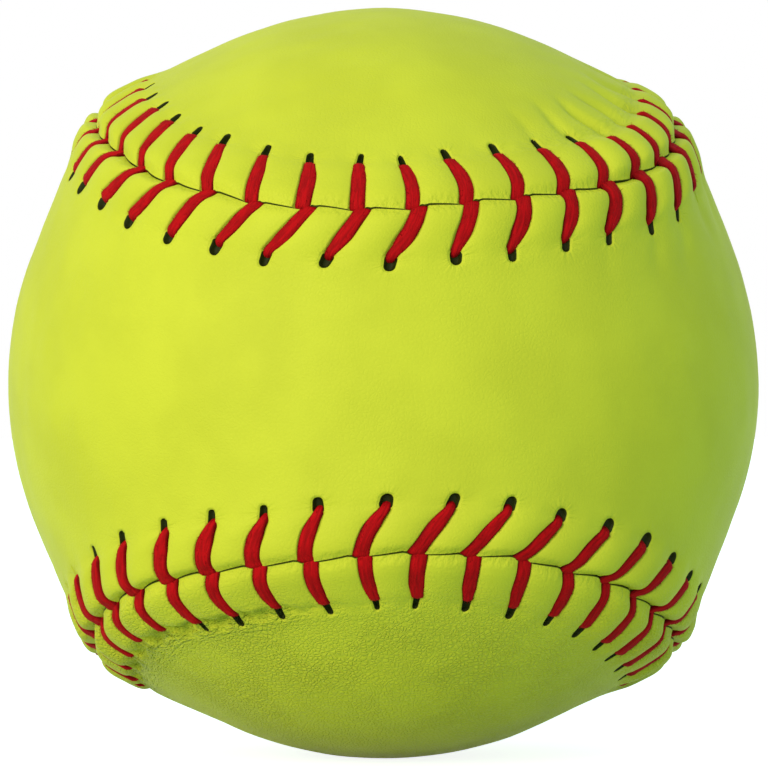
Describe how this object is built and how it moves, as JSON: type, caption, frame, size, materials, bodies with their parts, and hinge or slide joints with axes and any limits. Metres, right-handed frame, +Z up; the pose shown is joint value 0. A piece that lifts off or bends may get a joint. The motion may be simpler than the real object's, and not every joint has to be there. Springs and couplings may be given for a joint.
{
  "type": "softball",
  "caption": "Round bat-and-ball game ball: a moulded core in a yellow cover of figure-eight panels, laced along a raised seam with red thread.",
  "frame": {"origin": "centre of the ball", "axes": "-Y through the middle of the front panel's waist, +Z up, so that the seam crosses above and below that waist; a half turn about Y brings the ball onto itself"},
  "size_m": [0.0968, 0.0981, 0.0966],
  "materials": {
    "core": "moulded polyurethane foam",
    "cement": "dried latex cement",
    "cover": "grained synthetic leather with a low sheen",
    "thread": "waxed cotton"
  },
  "bodies": {
    "root": {"core": "core", "cement": "cement", "front_panel": "cover", "back_panel": "cover", "first_thread": "thread", "second_thread": "thread"}
  },
  "joints": []
}
